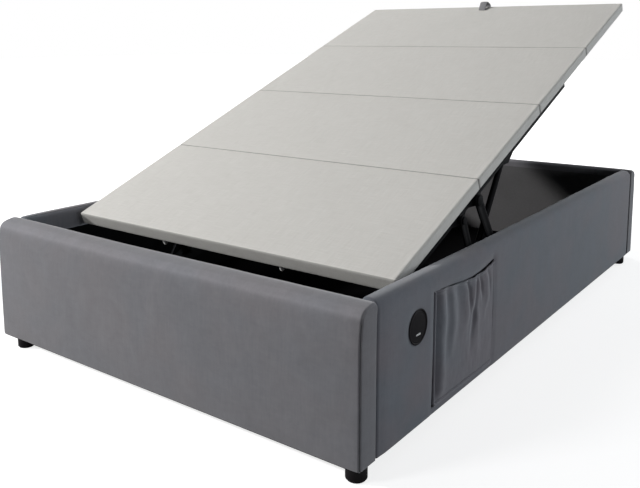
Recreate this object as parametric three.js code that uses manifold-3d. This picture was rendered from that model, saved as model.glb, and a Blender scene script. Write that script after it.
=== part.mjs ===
// Upholstered storage bed with an end-lifting deck, shown raised.
// X runs across the width, Y from the head panel to the foot panel, Z up. Millimetres.
// The origin is on the floor, under the middle of the frame.

import * as THREE from 'three';
import { mergeVertices } from 'three/addons/utils/BufferGeometryUtils.js';
import Module from 'manifold-3d';

const wasm = await Module();
wasm.setup();

// Driving dimensions
const mattress = { width: 1200, length: 1900, sideSlack: 3, endSlack: 20 };
const walls = { height: 353, standOff: 30 };
const panel = {
  thick: 70, core: 36, lining: 8, endPad: 10, topPad: 20,
  outerRoll: 28, innerRoll: 16, cornerRound: 14, endRoll: 20,
};
const rail = { thick: 49.5, reveal: 1.5, core: 25, lining: 5, topPad: 16, outerRoll: 24, innerRoll: 14 };
const deck = {
  sideGap: 17.5, endGap: 27.5, thick: 36, recess: 25, boards: 4, seam: 1.2, wrapRound: 5, cornerRound: 6,
  slideOut: 150.5, rise: 8, raisedAngle: THREE.MathUtils.degToRad(21.56),
};
const headLink = { along: 343, drop: 54, reach: 325, radius: 15, thick: 5 };
const footLink = { along: 445, drop: 54, reach: 377, radius: 15, eyeRadius: 19, looseHole: 11, thick: 5 };
const strut = {
  along: 680, drop: 50, footSetback: 480, footRise: 32, inset: 41, bodyRadius: 9, boreRadius: 7, rodRadius: 4,
  eyeRadius: 10, eyeThick: 10, neck: 14, topWall: 4, gland: 12, piston: 10, studRadius: 5, footClear: 3,
};
const arm = { start: 30, length: 1160, inset: 7.5, leg: 28, gauge: 3, depth: 16, lobe: 17, lobeReach: 42 };
const basePlate = { gauge: 4, linkPad: 26, strutPad: 20, boltRadius: 7, boltHead: 4 };
const pivot = { pinRadius: 6, bossRadius: 11, headRadius: 10, headThick: 4, looseHeadRadius: 16 };
const stringer = { offset: 222, width: 40, depth: 34, start: 30, endGap: 30 };
const crossTube = { width: 25, depth: 15, wall: 1.5, placeShares: [0.18, 0.6, 0.97] };
const stud = { flangeRadius: 10, topRadius: 8, tipRadius: 5.5, flange: 3, length: 24, setback: 14 };
const strap = { width: 30, band: 2.5, foothold: 48, arch: 26, overhang: 12, tail: 14 };
const ledge = { width: 40, depth: 25, start: 340, gap: 45, rest: 0.5 };
const floorBoard = { count: 3, thick: 5, seam: 1, edgeGap: 1 };
const bearer = { width: 18, depth: 8 };
const beam = { width: 50, depth: 28, footRadius: 26 };
const foot = { radius: 24, soleRadius: 21, sole: 3, cornerInset: 27, leftInset: 87, farInset: 108 };
const bracket = { leg: 58, height: 190, gauge: 3, lift: 60, holeRadius: 3.4, boltRadius: 7, boltHead: 4 };
const port = {
  setback: 168, height: 273, bezelRadius: 42, faceRadius: 37, tubeRadius: 40, depth: 18, proud: 1.5,
  faceInset: 1, slotWidth: 21, slotHeight: 6, slotDrop: 18, socketDepth: 6,
};
const pocket = {
  setback: 243, width: 342, base: 47, height: 286, recess: 16, cloth: 2, sag: 16, slit: 4.5, gape: 5,
  belly: 2, foldDepth: 5,
};

// Clearances
const seat = 0.3;
const running = 0.3;
const overrun = 5;

// Counts
const arcSteps = 8;
const pinSides = 20;
const tubeSides = 24;
const portSides = 48;
const clothColumns = 40;
const clothRows = 13;

// The pocket's folds, as shares of its width and height, from its head end
const folds = [
  { topShare: 0.05, footShare: 0.05, reachShare: 1, depthShare: 1, widthShare: 0.035 },
  { topShare: 0.2, footShare: 0.24, reachShare: 0.75, depthShare: 0.75, widthShare: 0.05 },
  { topShare: 0.33, footShare: 0.41, reachShare: 0.6, depthShare: 0.7, widthShare: 0.045 },
  { topShare: 0.53, footShare: 0.64, reachShare: 0.9, depthShare: 1, widthShare: 0.05 },
  { topShare: 0.7, footShare: 0.8, reachShare: 0.45, depthShare: 0.8, widthShare: 0.04 },
  { topShare: 0.86, footShare: 0.87, reachShare: 0.7, depthShare: 0.6, widthShare: 0.045 },
];
const sagSkewPower = 1.5;
const edgeFadeRate = 30;
const footFadeRate = 12;

// Places that follow from the sizes above
const HALF_TURN = Math.PI / 2;
const innerHalfWidth = mattress.width / 2 + mattress.sideSlack;
const innerHalfLength = mattress.length / 2 + mattress.endSlack;
const railFace = innerHalfWidth + rail.thick;
const outerHalfWidth = railFace + rail.reveal;
const outerHalfLength = innerHalfLength + panel.thick;
const wallBase = walls.standOff;
const wallTop = wallBase + walls.height;
const deckHalfWidth = innerHalfWidth - deck.sideGap;
const deckLength = 2 * (innerHalfLength - deck.endGap);
const closedNear = new THREE.Vector2(-deckLength / 2, wallTop - deck.recess);
const raisedNear = new THREE.Vector2(closedNear.x + deck.slideOut, closedNear.y + deck.rise);
const closedDeckBase = closedNear.y - deck.thick;
const armFace = deckHalfWidth - arm.inset;
const armInner = armFace - arm.gauge;
const plateOuter = innerHalfWidth - seat;
const plateInner = plateOuter - basePlate.gauge;
const linkMiddle = (armFace + plateInner) / 2;
const strutMiddle = innerHalfWidth - strut.inset;
const sides = [{ name: 'left', sign: -1 }, { name: 'right', sign: 1 }];

// Materials
function finish(color, roughness, metalness = 0) {
  return new THREE.MeshStandardMaterial({ color, roughness, metalness });
}
const velvet = finish(0x6b6b70, 0.85);
const pocketVelvet = finish(0x5c5d64, 0.85);
const timber = finish(0xb8976a, 0.7);
const deckCloth = finish(0xc2c0bb, 0.9);
const blackSteel = finish(0x1b1b1d, 0.45, 0.6);
const strutSteel = finish(0x26262a, 0.35, 0.5);
const rodSteel = finish(0x9a9a9c, 0.25, 1);
const zincSteel = finish(0xc8c6c0, 0.3, 1);
const blackPlastic = finish(0x201e21, 0.5);
const whitePlastic = finish(0xe6e6e4, 0.4);
const webbing = finish(0x77757a, 0.9);

// Solids: booleans
function toSolid(geometry) {
  const bare = geometry.clone();
  bare.deleteAttribute('normal');
  bare.deleteAttribute('uv');
  const merged = mergeVertices(bare);
  const points = new Float32Array(merged.attributes.position.array);
  const faces = new Uint32Array(merged.index.array);
  return new wasm.Manifold(new wasm.Mesh({ numProp: 3, vertProperties: points, triVerts: faces }));
}

function toGeometry(solid) {
  const mesh = solid.getMesh();
  const geometry = new THREE.BufferGeometry();
  geometry.setAttribute('position', new THREE.BufferAttribute(new Float32Array(mesh.vertProperties), 3));
  geometry.setIndex(new THREE.BufferAttribute(new Uint32Array(mesh.triVerts), 1));
  geometry.computeVertexNormals();
  return geometry;
}

function unite(geometries) {
  return toGeometry(geometries.map(toSolid).reduce((whole, next) => whole.add(next)));
}

function cut(geometry, cutters) {
  return toGeometry(cutters.map(toSolid).reduce((whole, next) => whole.subtract(next), toSolid(geometry)));
}

function common(geometries) {
  return toGeometry(geometries.map(toSolid).reduce((whole, next) => whole.intersect(next)));
}

// Solids: outlines
function arcPoints(centre, radius, from, to, steps = arcSteps) {
  return Array.from({ length: steps + 1 }, (_, i) => {
    const angle = from + ((to - from) * i) / steps;
    return new THREE.Vector2(centre.x + radius * Math.cos(angle), centre.y + radius * Math.sin(angle));
  });
}

// A rectangle whose corners may be round: radii run low-left, low-right, high-right, high-left.
function rectangle(x0, y0, x1, y1, radii = [0, 0, 0, 0]) {
  const corners = [[x0, y0, 1, 1], [x1, y0, -1, 1], [x1, y1, -1, -1], [x0, y1, 1, -1]];
  const points = corners.flatMap(([x, y, inX, inY], i) => {
    const radius = radii[i];
    if (!radius) return [new THREE.Vector2(x, y)];
    const start = Math.PI + i * HALF_TURN;
    return arcPoints(new THREE.Vector2(x + inX * radius, y + inY * radius), radius, start, start + HALF_TURN);
  });
  return new THREE.Shape(points);
}

function circle(centre, radius, sides = pinSides) {
  return new THREE.Path(arcPoints(centre, radius, 0, 2 * Math.PI, sides).slice(0, sides));
}

// The outline of a belt pulled round a set of discs.
function beltRound(discs) {
  const points = discs.flatMap((disc) => arcPoints(disc.at, disc.radius, 0, 2 * Math.PI, 3 * arcSteps).slice(1));
  points.sort((a, b) => a.x - b.x || a.y - b.y);
  const turn = (o, a, b) => (a.x - o.x) * (b.y - o.y) - (a.y - o.y) * (b.x - o.x);
  const chain = (list) => {
    const kept = [];
    for (const point of list) {
      while (kept.length > 1 && turn(kept[kept.length - 2], kept[kept.length - 1], point) <= 0) kept.pop();
      kept.push(point);
    }
    return kept.slice(0, -1);
  };
  return new THREE.Shape([...chain(points), ...chain([...points].reverse())]);
}

// Solids: plates from an outline. Across lies in (y, z), along in (x, z) and up in (x, y).
const acrossAxes = new THREE.Matrix4().makeBasis(
  new THREE.Vector3(0, 1, 0), new THREE.Vector3(0, 0, 1), new THREE.Vector3(1, 0, 0));
const alongAxes = new THREE.Matrix4().makeBasis(
  new THREE.Vector3(1, 0, 0), new THREE.Vector3(0, 0, 1), new THREE.Vector3(0, -1, 0));

function extrude(shape, depth) {
  return new THREE.ExtrudeGeometry(shape, { depth, bevelEnabled: false });
}

function plateAcross(shape, xA, xB) {
  return extrude(shape, Math.abs(xB - xA)).applyMatrix4(acrossAxes).translate(Math.min(xA, xB), 0, 0);
}

function plateAlong(shape, yA, yB) {
  return extrude(shape, Math.abs(yB - yA)).applyMatrix4(alongAxes).translate(0, Math.max(yA, yB), 0);
}

function plateUp(shape, zA, zB) {
  return extrude(shape, Math.abs(zB - zA)).translate(0, 0, Math.min(zA, zB));
}

function block(x0, x1, y0, y1, z0, z1) {
  const xs = [Math.min(x0, x1), Math.max(x0, x1)];
  return plateUp(rectangle(xs[0], Math.min(y0, y1), xs[1], Math.max(y0, y1)), z0, z1);
}

function pinAcross(radius, xA, xB, at, sides = pinSides) {
  const geometry = new THREE.CylinderGeometry(radius, radius, Math.abs(xB - xA), sides);
  return geometry.rotateZ(HALF_TURN).translate((xA + xB) / 2, at.x, at.y);
}

function boltRound(radius, zA, zB, x, y, sides = pinSides) {
  const geometry = new THREE.CylinderGeometry(radius, radius, Math.abs(zB - zA), sides);
  return geometry.rotateX(HALF_TURN).translate(x, y, (zA + zB) / 2);
}

function turned(profile, sides = tubeSides) {
  return new THREE.LatheGeometry(profile.map(([r, z]) => new THREE.Vector2(r, z)), sides).rotateX(HALF_TURN);
}

// Assembly
const bed = new THREE.Group();

function add(group, name, geometry, material) {
  const mesh = new THREE.Mesh(geometry, material);
  mesh.name = name;
  group.add(mesh);
}

// Head and foot panels: a timber core in a padded cover with a rolled top and rolled ends
function panelParts(name, sign) {
  const outer = sign * outerHalfLength;
  const inner = sign * innerHalfLength;
  const low = Math.min(outer, inner);
  const high = Math.max(outer, inner);
  const rolls = sign < 0 ? [panel.innerRoll, panel.outerRoll] : [panel.outerRoll, panel.innerRoll];
  const corners = sign < 0
    ? [panel.cornerRound, panel.cornerRound, 0, 0]
    : [0, 0, panel.cornerRound, panel.cornerRound];
  const side = plateAcross(rectangle(low, wallBase, high, wallTop, [0, 0, ...rolls]), -outerHalfWidth, outerHalfWidth);
  const plan = plateUp(rectangle(-outerHalfWidth, low, outerHalfWidth, high, corners), wallBase, wallTop);
  const front = plateAlong(
    rectangle(-outerHalfWidth, wallBase, outerHalfWidth, wallTop, [0, 0, panel.endRoll, panel.endRoll]), low, high);
  const coreInner = inner + sign * panel.lining;
  const coreOuter = coreInner + sign * panel.core;
  const coreHalf = outerHalfWidth - panel.endPad;
  const coreTop = wallTop - panel.topPad;
  const room = block(
    -coreHalf - seat, coreHalf + seat, coreInner - sign * seat, coreOuter + sign * seat,
    wallBase - overrun, coreTop + seat);
  add(bed, `${name}_panel_cover`, cut(common([side, plan, front]), [room]), velvet);
  add(bed, `${name}_panel_core`, block(-coreHalf, coreHalf, coreInner, coreOuter, wallBase, coreTop), timber);
}

// Side rails: the same make, butted between the panels
function railOutline(sign) {
  const outer = sign * railFace;
  const inner = sign * innerHalfWidth;
  const rolls = sign < 0 ? [rail.innerRoll, rail.outerRoll] : [rail.outerRoll, rail.innerRoll];
  return rectangle(Math.min(outer, inner), wallBase, Math.max(outer, inner), wallTop, [0, 0, ...rolls]);
}

const portAt = new THREE.Vector2(-innerHalfLength + port.setback, port.height);
const pocketLow = -innerHalfLength + pocket.setback;

function portRoom() {
  const depth = port.depth + seat;
  return pinAcross(port.tubeRadius + seat, railFace - depth, railFace + overrun, portAt, portSides);
}

function pocketRoom() {
  const edge = Array.from({ length: clothColumns + 1 }, (_, i) => {
    const share = 1 - i / clothColumns;
    return new THREE.Vector2(pocketLow + share * pocket.width, pocket.base + pocketRoomTop(share));
  });
  const opening = new THREE.Shape([
    new THREE.Vector2(pocketLow, pocket.base), new THREE.Vector2(pocketLow + pocket.width, pocket.base), ...edge,
  ]);
  return plateAcross(opening, railFace - pocket.recess, railFace + overrun);
}

function railParts({ name, sign }) {
  const halfLength = innerHalfLength - seat;
  const coreInner = sign * (innerHalfWidth + rail.lining);
  const coreOuter = coreInner + sign * rail.core;
  const coreTop = wallTop - rail.topPad;
  const coreHalf = halfLength - rail.lining;
  const room = block(
    coreInner - sign * seat, coreOuter + sign * seat, -coreHalf - seat, coreHalf + seat,
    wallBase - overrun, coreTop + seat);
  const rooms = sign > 0 ? [room, portRoom(), pocketRoom()] : [room];
  add(bed, `${name}_rail_cover`, cut(plateAlong(railOutline(sign), -halfLength, halfLength), rooms), velvet);
  add(bed, `${name}_rail_core`, block(coreInner, coreOuter, -coreHalf, coreHalf, wallBase, coreTop), timber);
}

// Charging port: a bezel with a tube in the padding, a face and a pale socket
function portParts() {
  const face = railFace;
  const back = face - port.depth;
  const ring = pinAcross(port.bezelRadius, face + seat, face + port.proud, portAt, portSides);
  const tube = pinAcross(port.tubeRadius, back, face + port.proud, portAt, portSides);
  const bore = pinAcross(port.faceRadius, back - overrun, face + overrun, portAt, portSides);
  add(bed, 'port_bezel', cut(unite([ring, tube]), [bore]), blackPlastic);
  const slotAt = new THREE.Vector2(portAt.x, portAt.y - port.slotDrop);
  const slot = (grow) => rectangle(
    slotAt.x - port.slotWidth / 2 - grow, slotAt.y - port.slotHeight / 2 - grow,
    slotAt.x + port.slotWidth / 2 + grow, slotAt.y + port.slotHeight / 2 + grow);
  const faceFront = face + port.proud - port.faceInset;
  const disc = pinAcross(port.faceRadius - seat, back, faceFront, portAt, portSides);
  const well = plateAcross(slot(seat), faceFront - port.socketDepth - seat, faceFront + overrun);
  add(bed, 'port_face', cut(disc, [well]), blackPlastic);
  const mouth = plateAcross(slot(-port.slotHeight / 4), faceFront - port.socketDepth / 2, faceFront + overrun);
  const socket = plateAcross(slot(0), faceFront - port.socketDepth, faceFront);
  add(bed, 'port_socket', cut(socket, [mouth]), whitePlastic);
}

// Storage pocket: gathered cloth set in the rail, open along its sagging top edge
function pocketRoomTop(share) {
  return pocket.height - pocket.sag * Math.sin(Math.PI * share ** sagSkewPower);
}

function pocketClothTop(share) {
  return pocketRoomTop(share) - pocket.slit - pocket.gape * share * share;
}

// How far the cloth stands in front of its flat level; each fold is deepest at the top edge.
function pocketDepth(share, riseShare) {
  const hemShare = Math.min(1, Math.min(share, 1 - share) * edgeFadeRate, riseShare * footFadeRate);
  const sunk = folds.reduce((sum, fold) => {
    const at = fold.footShare + (fold.topShare - fold.footShare) * riseShare;
    const run = Math.max(0, (riseShare - 1 + fold.reachShare) / fold.reachShare);
    return sum + fold.depthShare * Math.sqrt(run) * Math.exp(-(((share - at) / fold.widthShare) ** 2));
  }, 0);
  return hemShare * (pocket.belly * Math.sin(Math.PI * share) - pocket.foldDepth * sunk);
}

function pocketParts() {
  const face = railFace - pocket.belly;
  const back = railFace - pocket.recess + seat;
  const side = (clothColumns + 1) * (clothRows + 1);
  const positions = [];
  const index = [];
  for (const inset of [0, pocket.cloth]) {
    for (let j = 0; j <= clothRows; j += 1) {
      for (let i = 0; i <= clothColumns; i += 1) {
        const share = i / clothColumns;
        const riseShare = j / clothRows;
        const sewn = inset && (i === 0 || i === clothColumns || j === 0);
        const x = sewn ? back : face + pocketDepth(share, riseShare) - inset;
        const y = pocketLow + seat + share * (pocket.width - 2 * seat);
        positions.push(x, y, pocket.base + seat + riseShare * (pocketClothTop(share) - seat));
      }
    }
  }
  const at = (i, j, layer) => layer * side + j * (clothColumns + 1) + i;
  const quad = (a, b, c, d) => index.push(a, b, c, a, c, d);
  for (let j = 0; j < clothRows; j += 1) {
    for (let i = 0; i < clothColumns; i += 1) {
      quad(at(i, j, 0), at(i + 1, j, 0), at(i + 1, j + 1, 0), at(i, j + 1, 0));
      quad(at(i, j, 1), at(i, j + 1, 1), at(i + 1, j + 1, 1), at(i + 1, j, 1));
    }
    quad(at(0, j, 0), at(0, j + 1, 0), at(0, j + 1, 1), at(0, j, 1));
    quad(at(clothColumns, j, 0), at(clothColumns, j, 1), at(clothColumns, j + 1, 1), at(clothColumns, j + 1, 0));
  }
  for (let i = 0; i < clothColumns; i += 1) {
    quad(at(i, 0, 0), at(i, 0, 1), at(i + 1, 0, 1), at(i + 1, 0, 0));
    quad(at(i, clothRows, 0), at(i + 1, clothRows, 0), at(i + 1, clothRows, 1), at(i, clothRows, 1));
  }
  const cloth = new THREE.BufferGeometry();
  cloth.setAttribute('position', new THREE.Float32BufferAttribute(positions, 3));
  cloth.setIndex(index);
  cloth.computeVertexNormals();
  add(bed, 'storage_pocket', cloth, pocketVelvet);
}

// Feet, one under each corner, set where the photographed ones stand
function footParts() {
  const rows = [
    { name: 'head', y: -outerHalfLength + foot.cornerInset + seat },
    { name: 'foot', y: outerHalfLength - foot.farInset },
  ];
  for (const row of rows) {
    for (const { name, sign } of sides) {
      const inset = sign < 0 ? foot.leftInset : foot.cornerInset;
      const profile = [
        [0, 0], [foot.soleRadius, 0], [foot.radius, foot.sole],
        [foot.radius, wallBase - seat], [0, wallBase - seat],
      ];
      const leg = turned(profile).translate(sign * (outerHalfWidth - inset), row.y, 0);
      add(bed, `${row.name}_${name}_foot`, leg, blackPlastic);
    }
  }
}

// Corner brackets: an angle in each inner corner, bolted to both walls
function bracketParts() {
  for (const [end, endSign] of [['head', -1], ['foot', 1]]) {
    for (const { name, sign } of sides) {
      const x = sign * plateOuter;
      const y = endSign * (innerHalfLength - seat);
      const z = wallBase + bracket.lift;
      const top = z + bracket.height;
      const legs = [
        block(x, x - sign * bracket.gauge, y, y - endSign * bracket.leg, z, top),
        block(x, x - sign * bracket.leg, y, y - endSign * bracket.gauge, z, top),
      ];
      const heads = [0.2, 0.8].flatMap((share) => {
        const level = z + share * bracket.height;
        const alongY = new THREE.Vector2(y - endSign * bracket.leg * 0.6, level);
        const inX = x - sign * bracket.gauge;
        const inY = y - endSign * bracket.gauge;
        const headX = pinAcross(bracket.boltRadius, inX + sign, inX - sign * bracket.boltHead, alongY);
        const headY = new THREE.CylinderGeometry(
          bracket.boltRadius, bracket.boltRadius, bracket.boltHead + 1, pinSides);
        headY.translate(x - sign * bracket.leg * 0.6, inY - endSign * (bracket.boltHead - 1) / 2, level);
        return [headX, headY];
      });
      add(bed, `${end}_${name}_corner_bracket`, unite([...legs, ...heads]), blackSteel);
    }
  }
}

// Storage floor: boards on side bearers and a centre beam with its own foot
function floorParts() {
  const halfLength = innerHalfLength - seat;
  const top = wallBase + bearer.depth;
  for (const { name, sign } of sides) {
    const x = sign * (innerHalfWidth - seat);
    add(bed, `${name}_floor_bearer`,
      block(x, x - sign * bearer.width, -halfLength, halfLength, wallBase, top), timber);
  }
  add(bed, 'centre_beam',
    block(-beam.width / 2, beam.width / 2, -halfLength, halfLength, top - beam.depth, top), timber);
  const footTop = top - beam.depth - seat;
  const profile = [
    [0, 0], [beam.footRadius - foot.sole, 0], [beam.footRadius, foot.sole],
    [beam.footRadius, footTop], [0, footTop],
  ];
  add(bed, 'centre_foot', turned(profile), blackPlastic);
  const half = innerHalfWidth - floorBoard.edgeGap;
  const pitch = (2 * innerHalfLength - floorBoard.seam) / floorBoard.count;
  for (let i = 0; i < floorBoard.count; i += 1) {
    const y = -innerHalfLength + floorBoard.seam + i * pitch;
    const board = block(-half, half, y, y + pitch - floorBoard.seam, top + seat, top + seat + floorBoard.thick);
    add(bed, `floor_board_${i + 1}`, board, timber);
  }
}

// Ledges that the closed deck rests on
function ledgeParts() {
  const top = closedDeckBase - ledge.rest;
  const end = innerHalfLength - ledge.gap - ledge.width / 2;
  for (const { name, sign } of sides) {
    const x = sign * (innerHalfWidth - seat);
    add(bed, `${name}_ledge`, block(x, x - sign * ledge.width, ledge.start, end, top - ledge.depth, top), timber);
  }
}

// Lift: where a point of the deck is when the deck is closed and when it is raised
function closedPoint(along, drop) {
  return new THREE.Vector2(closedNear.x + along, closedNear.y - drop);
}

function raisedPoint(along, drop) {
  const c = Math.cos(deck.raisedAngle);
  const s = Math.sin(deck.raisedAngle);
  return new THREE.Vector2(raisedNear.x + along * c + drop * s, raisedNear.y + along * s - drop * c);
}

// A link's fixed pivot lies on the line that its moving end's two places are equally far from.
function fixedPivot({ along, drop, reach }) {
  const closed = closedPoint(along, drop);
  const raised = raisedPoint(along, drop);
  const travel = raised.clone().sub(closed).normalize();
  return closed.add(raised).multiplyScalar(0.5).add(new THREE.Vector2(travel.y, -travel.x).multiplyScalar(reach));
}

const headPivot = fixedPivot(headLink);
const footPivot = fixedPivot(footLink);
const strutFoot = new THREE.Vector2(-innerHalfLength + strut.footSetback, wallBase + strut.footRise);
const strutTop = raisedPoint(strut.along, strut.drop);
const strutOpen = strutTop.distanceTo(strutFoot);
const strutClosed = closedPoint(strut.along, strut.drop).distanceTo(strutFoot);

// A pin with a boss on its carrier's side and a head beyond the link that it holds
function linkPin(sign, carrierFace, at, holeRadius) {
  const towards = Math.sign(linkMiddle - carrierFace);
  const near = linkMiddle - towards * (headLink.thick / 2 + running);
  const far = linkMiddle + towards * (headLink.thick / 2 + running);
  const wide = holeRadius > pivot.bossRadius - running ? pivot.looseHeadRadius : pivot.bossRadius;
  return [
    pinAcross(wide, sign * (carrierFace - towards), sign * near, at),
    pinAcross(pivot.pinRadius, sign * carrierFace, sign * (far + towards), at),
    pinAcross(wide, sign * far, sign * (far + towards * pivot.headThick), at),
  ];
}

function basePlateParts({ name, sign }) {
  const pads = [
    { at: headPivot, radius: basePlate.linkPad },
    { at: footPivot, radius: basePlate.linkPad },
    { at: strutFoot, radius: basePlate.strutPad - strut.footClear },
  ];
  const plate = plateAcross(beltRound(pads), sign * plateInner, sign * plateOuter);
  const boltPlaces = [
    headPivot.clone().lerp(strutFoot, 0.35), headPivot.clone().lerp(strutFoot, 0.75),
    headPivot.clone().lerp(footPivot, 0.32), headPivot.clone().lerp(footPivot, 0.68),
  ];
  const bolts = boltPlaces.map((at) => pinAcross(
    basePlate.boltRadius, sign * (plateInner + basePlate.gauge / 2), sign * (plateInner - basePlate.boltHead), at));
  const socketFace = strutMiddle + strut.eyeThick + strut.footClear;
  const socket = [
    pinAcross(strut.eyeRadius + 2, sign * (plateInner + 1), sign * socketFace, strutFoot),
  ];
  const pins = [headPivot, footPivot].flatMap((at) => linkPin(sign, plateInner, at, 0));
  add(bed, `${name}_base_plate`, unite([plate, ...bolts, ...socket, ...pins]), blackSteel);
}

function linkParts({ name, sign }) {
  const x = [sign * (linkMiddle - headLink.thick / 2), sign * (linkMiddle + headLink.thick / 2)];
  const bar = (fixed, link, eyeRadius, eyeHole) => {
    const moving = raisedPoint(link.along, link.drop);
    const shape = beltRound([{ at: fixed, radius: link.radius }, { at: moving, radius: eyeRadius }]);
    shape.holes.push(circle(fixed, pivot.pinRadius + running), circle(moving, eyeHole));
    return plateAcross(shape, ...x);
  };
  add(bed, `${name}_head_link`, bar(headPivot, headLink, headLink.radius, pivot.pinRadius + running), blackSteel);
  add(bed, `${name}_foot_link`, bar(footPivot, footLink, footLink.eyeRadius, footLink.looseHole), blackSteel);
}

// Gas struts: the cylinder hangs from the deck, the rod's foot meets a socket on the base plate
function strutParts({ name, sign }) {
  const group = new THREE.Group();
  group.position.set(sign * strutMiddle, strutTop.x, strutTop.y);
  const run = strutFoot.clone().sub(strutTop);
  group.rotation.x = Math.atan2(run.x, -run.y);
  const bodyEnd = strutClosed - strut.eyeRadius - strut.footClear;
  const boreTop = strut.neck + strut.topWall;
  const glandTop = bodyEnd - strut.gland;
  const bodyProfile = [
    [0, -strut.neck], [strut.bodyRadius - 1, -strut.neck], [strut.bodyRadius, -strut.neck - 1],
    [strut.bodyRadius, -bodyEnd], [strut.rodRadius + running, -bodyEnd],
    [strut.rodRadius + running, -glandTop], [strut.boreRadius, -glandTop],
    [strut.boreRadius, -boreTop], [0, -boreTop],
  ];
  const origin = new THREE.Vector2(0, 0);
  const halfEye = strut.eyeThick / 2;
  const eye = pinAcross(strut.eyeRadius, -halfEye, halfEye, origin);
  const neck = boltRound(strut.studRadius, -strut.eyeRadius / 2, -strut.neck - 1, 0, 0);
  const hole = pinAcross(strut.studRadius + running, -halfEye - overrun, halfEye + overrun, origin);
  const body = turned([...bodyProfile].reverse());
  add(group, `${name}_strut_cylinder`, cut(unite([body, neck, eye]), [hole]), strutSteel);
  const rodTop = glandTop - running - strut.piston;
  const rodProfile = [
    [0, -rodTop], [strut.boreRadius - running, -rodTop],
    [strut.boreRadius - running, -rodTop - strut.piston],
    [strut.rodRadius, -rodTop - strut.piston], [strut.rodRadius, -strutOpen], [0, -strutOpen],
  ];
  const footAt = new THREE.Vector2(0, -strutOpen);
  const footEye = pinAcross(strut.eyeRadius, -halfEye, halfEye, footAt);
  const footPin = pinAcross(
    pivot.pinRadius, 0, sign * (strut.eyeThick + strut.footClear - seat), footAt);
  add(group, `${name}_strut_rod`, unite([turned([...rodProfile].reverse()), footEye, footPin]), rodSteel);
  bed.add(group);
}

// Deck: everything below is placed in the deck's own frame, tilted as one group
const deckGroup = new THREE.Group();
deckGroup.position.set(0, raisedNear.x, raisedNear.y);
deckGroup.rotation.x = deck.raisedAngle;
const underside = -deck.thick - seat;

function boardParts() {
  const pitch = (deckLength + deck.seam) / deck.boards;
  for (let i = 0; i < deck.boards; i += 1) {
    const start = i * pitch;
    const end = start + pitch - deck.seam;
    const round = deck.wrapRound;
    const shape = rectangle(
      -deckHalfWidth + round, start + round, deckHalfWidth - round, end - round,
      Array(4).fill(deck.cornerRound - round));
    const slab = new THREE.ExtrudeGeometry(shape, {
      depth: deck.thick - 2 * round, bevelEnabled: true, bevelThickness: round, bevelSize: round, bevelSegments: 4,
    });
    add(deckGroup, `deck_board_${i + 1}`, slab.translate(0, 0, -deck.thick + round), deckCloth);
  }
}

function crossTubeStart(share) {
  return arm.start + share * arm.length - crossTube.width / 2;
}

function deckFrameParts() {
  const tubeTop = underside - arm.gauge - seat;
  const tubeLow = tubeTop - crossTube.depth;
  crossTube.placeShares.forEach((share, i) => {
    const y = crossTubeStart(share);
    const shape = rectangle(y, tubeLow, y + crossTube.width, tubeTop);
    const inner = rectangle(
      y + crossTube.wall, tubeLow + crossTube.wall,
      y + crossTube.width - crossTube.wall, tubeTop - crossTube.wall);
    shape.holes.push(new THREE.Path(inner.getPoints()));
    const half = armInner - seat;
    add(deckGroup, `cross_tube_${i + 1}`, plateAcross(shape, -half, half), blackSteel);
  });
  for (const { name, sign } of sides) {
    const x = sign * stringer.offset;
    const bar = block(
      x - stringer.width / 2, x + stringer.width / 2, stringer.start, deckLength - stringer.endGap,
      underside - stringer.depth, underside);
    const mortises = crossTube.placeShares.map((share) => block(
      x - stringer.width, x + stringer.width, crossTubeStart(share) - seat,
      crossTubeStart(share) + crossTube.width + seat, tubeLow - seat, tubeTop + seat));
    add(deckGroup, `${name}_deck_stringer`, cut(bar, mortises), timber);
    const profile = [
      [0, -stud.length], [stud.tipRadius - 1.5, -stud.length], [stud.tipRadius, -stud.length + 1.5],
      [stud.topRadius, -stud.flange], [stud.flangeRadius, -stud.flange], [stud.flangeRadius, 0], [0, 0],
    ];
    add(deckGroup, `${name}_locating_stud`, turned(profile).translate(x, stud.setback, underside), zincSteel);
  }
}

// Upper arms: an angle under each edge with a lobe at each pivot
function armParts({ name, sign }) {
  const xs = [sign * armInner, sign * armFace];
  const low = underside - arm.depth;
  const end = arm.start + arm.length;
  const strip = plateAcross(rectangle(arm.start, low, end, underside), ...xs);
  const leg = block(
    sign * armFace, sign * (armFace - arm.leg), arm.start, end, underside - arm.gauge, underside);
  const places = [headLink, footLink, strut].map(({ along, drop }) => new THREE.Vector2(along, -drop));
  const lobes = places.map((at) => plateAcross(beltRound([
    { at, radius: arm.lobe },
    { at: new THREE.Vector2(at.x - arm.lobeReach, low + arm.gauge), radius: arm.gauge },
    { at: new THREE.Vector2(at.x + arm.lobeReach, low + arm.gauge), radius: arm.gauge },
  ]), ...xs));
  const trim = block(
    sign * (armInner - arm.leg), sign * (armFace + overrun), arm.start, end, underside, underside + deck.thick);
  const plates = cut(unite([strip, leg, ...lobes]), [trim]);
  const linkPins = [
    ...linkPin(sign, armFace, places[0], 0),
    ...linkPin(sign, armFace, places[1], footLink.looseHole),
  ];
  const studNear = strutMiddle + strut.eyeThick / 2 + running;
  const studFar = strutMiddle - strut.eyeThick / 2 - running;
  const strutStud = [
    pinAcross(strut.bodyRadius - 1, sign * (armInner + 1), sign * studNear, places[2]),
    pinAcross(strut.studRadius, sign * armInner, sign * (studFar - 1), places[2]),
    pinAcross(strut.bodyRadius - 1, sign * studFar, sign * (studFar - pivot.headThick), places[2]),
  ];
  add(deckGroup, `${name}_upper_arm`, unite([plates, ...linkPins, ...strutStud]), blackSteel);
}

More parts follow.
